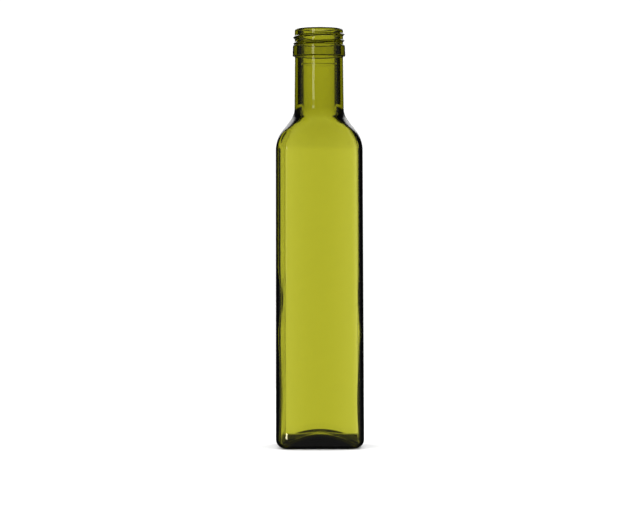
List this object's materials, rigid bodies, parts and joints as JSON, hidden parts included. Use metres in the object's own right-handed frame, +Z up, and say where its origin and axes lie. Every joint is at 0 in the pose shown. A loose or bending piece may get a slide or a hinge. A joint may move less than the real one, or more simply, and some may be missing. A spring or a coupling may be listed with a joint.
{
  "type": "empty glass oil bottle",
  "caption": "Square olive-green glass bottle for oil, with a domed shoulder, a round neck, a collar and a screw-thread mouth, empty and uncapped.",
  "frame": {"origin": "middle of the foot, on the surface that the bottle stands on", "axes": "+Z up along the bottle's axis, X and Y square to the flat sides, -Y the side that faced the camera"},
  "size_m": [0.0464, 0.0464, 0.222],
  "materials": {
    "green_glass": "clear olive-green, polished"
  },
  "bodies": {
    "root": {"bottle": "green_glass"}
  },
  "joints": []
}
